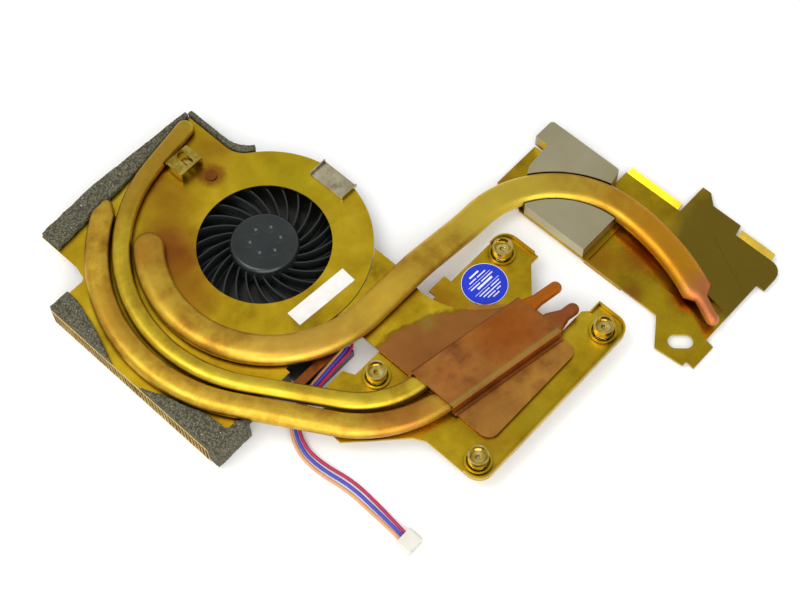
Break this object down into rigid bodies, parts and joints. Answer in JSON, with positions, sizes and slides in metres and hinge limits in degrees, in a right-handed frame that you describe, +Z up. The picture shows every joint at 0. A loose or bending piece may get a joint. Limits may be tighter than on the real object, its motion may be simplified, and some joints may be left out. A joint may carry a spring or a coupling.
{
  "type": "laptop cooling fan heatsink",
  "caption": "Flat laptop cooler: radial blower under a brass cover, fin stacks, flattened heat pipes, a sprung processor plate and a second chip plate.",
  "frame": {"origin": "on the fan axis, at the underside of the fan tray, which rests on the table", "axes": "+Z up along the fan axis, away from the board; +X along the straight run of the long heat pipe, towards the second chip plate; +Y towards the rear air outlet"},
  "size_m": [0.154, 0.1591, 0.0116],
  "materials": {
    "black_plastic": "moulded, satin",
    "fan_plastic": "moulded, glossy",
    "brass_sheet": "stamped, slightly tarnished",
    "pipe_copper": "drawn and flattened, golden brown",
    "bare_copper": "milled copper, browned",
    "fin_copper": "thin sheet",
    "winding": "enamelled wire",
    "silver_block": "cast, satin",
    "tinned_sheet": "tinned",
    "steel": "nickel plated",
    "sintered_bronze": "sintered",
    "magnet_rubber": "dull",
    "board": "solder resist",
    "foam": "open cell foam",
    "thermal_pad": "soft, matt",
    "white_paper": "matt label",
    "blue_paper": "matt label",
    "tan_insulation": "satin",
    "blue_insulation": "satin",
    "red_insulation": "satin",
    "white_nylon": "moulded",
    "pin_metal": "tinned"
  },
  "bodies": {
    "cooler": {"fan_tray": "black_plastic", "fan_cover": "brass_sheet", "bearing_sleeve": "sintered_bronze", "stator_core": "steel", "stator_coils": "winding", "motor_board": "board", "rear_fins": "fin_copper", "left_fins": "fin_copper", "pipe_outer": "pipe_copper", "pipe_middle": "pipe_copper", "pipe_gpu": "pipe_copper", "cpu_plate": "brass_sheet", "cpu_slug": "bare_copper", "pipe_saddle": "bare_copper", "bridge_sheet": "brass_sheet", "gpu_plate": "brass_sheet", "gpu_pad": "bare_copper", "chipset_block": "silver_block", "chipset_pad": "thermal_pad", "rear_foam": "foam", "side_foam": "foam", "left_foam_rear": "foam", "left_foam_front": "foam", "screw_spring_1": "steel", "screw_spring_2": "steel", "screw_spring_3": "steel", "screw_spring_4": "steel", "pipe_bracket": "brass_sheet", "rivet": "bare_copper", "ground_clip": "tinned_sheet", "wire_strap": "bare_copper", "fan_label": "white_paper", "round_label": "blue_paper", "wire_tan": "tan_insulation", "wire_blue": "blue_insulation", "wire_red": "red_insulation", "plug": "white_nylon", "plug_pins": "pin_metal"},
    "rotor": {"impeller": "fan_plastic", "rotor_yoke": "steel", "rotor_magnet": "magnet_rubber", "rotor_shaft": "steel"},
    "ring_1": {"screw_ring_1": "steel"},
    "captive_screw_1": {"screw_1": "steel"},
    "ring_2": {"screw_ring_2": "steel"},
    "captive_screw_2": {"screw_2": "steel"},
    "ring_3": {"screw_ring_3": "steel"},
    "captive_screw_3": {"screw_3": "steel"},
    "ring_4": {"screw_ring_4": "steel"},
    "captive_screw_4": {"screw_4": "steel"}
  },
  "joints": [
    {"name": "rotor_turn", "type": "hinge", "parent": "cooler", "child": "rotor", "pos_m": [0, 0, 0.004], "axis": [0, 0, 1], "continuous": true},
    {"name": "press_1", "type": "slide", "parent": "cooler", "child": "ring_1", "axis": [0, 0, 1], "range_m": [-0.0014, 0], "stiffness_N_per_m": 400, "springref_m": 0.0005, "deforming": ["screw_spring_1"]},
    {"name": "drive_1", "type": "hinge", "parent": "ring_1", "child": "captive_screw_1", "pos_m": [-0.0085, -0.0506, 0.0035], "axis": [0, 0, 1], "continuous": true},
    {"name": "press_2", "type": "slide", "parent": "cooler", "child": "ring_2", "axis": [0, 0, 1], "range_m": [-0.0014, 0], "stiffness_N_per_m": 400, "springref_m": 0.0005, "deforming": ["screw_spring_2"]},
    {"name": "drive_2", "type": "hinge", "parent": "ring_2", "child": "captive_screw_2", "pos_m": [0.0425, -0.0506, 0.0035], "axis": [0, 0, 1], "continuous": true},
    {"name": "press_3", "type": "slide", "parent": "cooler", "child": "ring_3", "axis": [0, 0, 1], "range_m": [-0.0014, 0], "stiffness_N_per_m": 400, "springref_m": 0.0005, "deforming": ["screw_spring_3"]},
    {"name": "drive_3", "type": "hinge", "parent": "ring_3", "child": "captive_screw_3", "pos_m": [0.0425, -0.0866, 0.0035], "axis": [0, 0, 1], "continuous": true},
    {"name": "press_4", "type": "slide", "parent": "cooler", "child": "ring_4", "axis": [0, 0, 1], "range_m": [-0.0014, 0], "stiffness_N_per_m": 400, "springref_m": 0.0005, "deforming": ["screw_spring_4"]},
    {"name": "drive_4", "type": "hinge", "parent": "ring_4", "child": "captive_screw_4", "pos_m": [-0.0085, -0.0866, 0.0035], "axis": [0, 0, 1], "continuous": true}
  ]
}
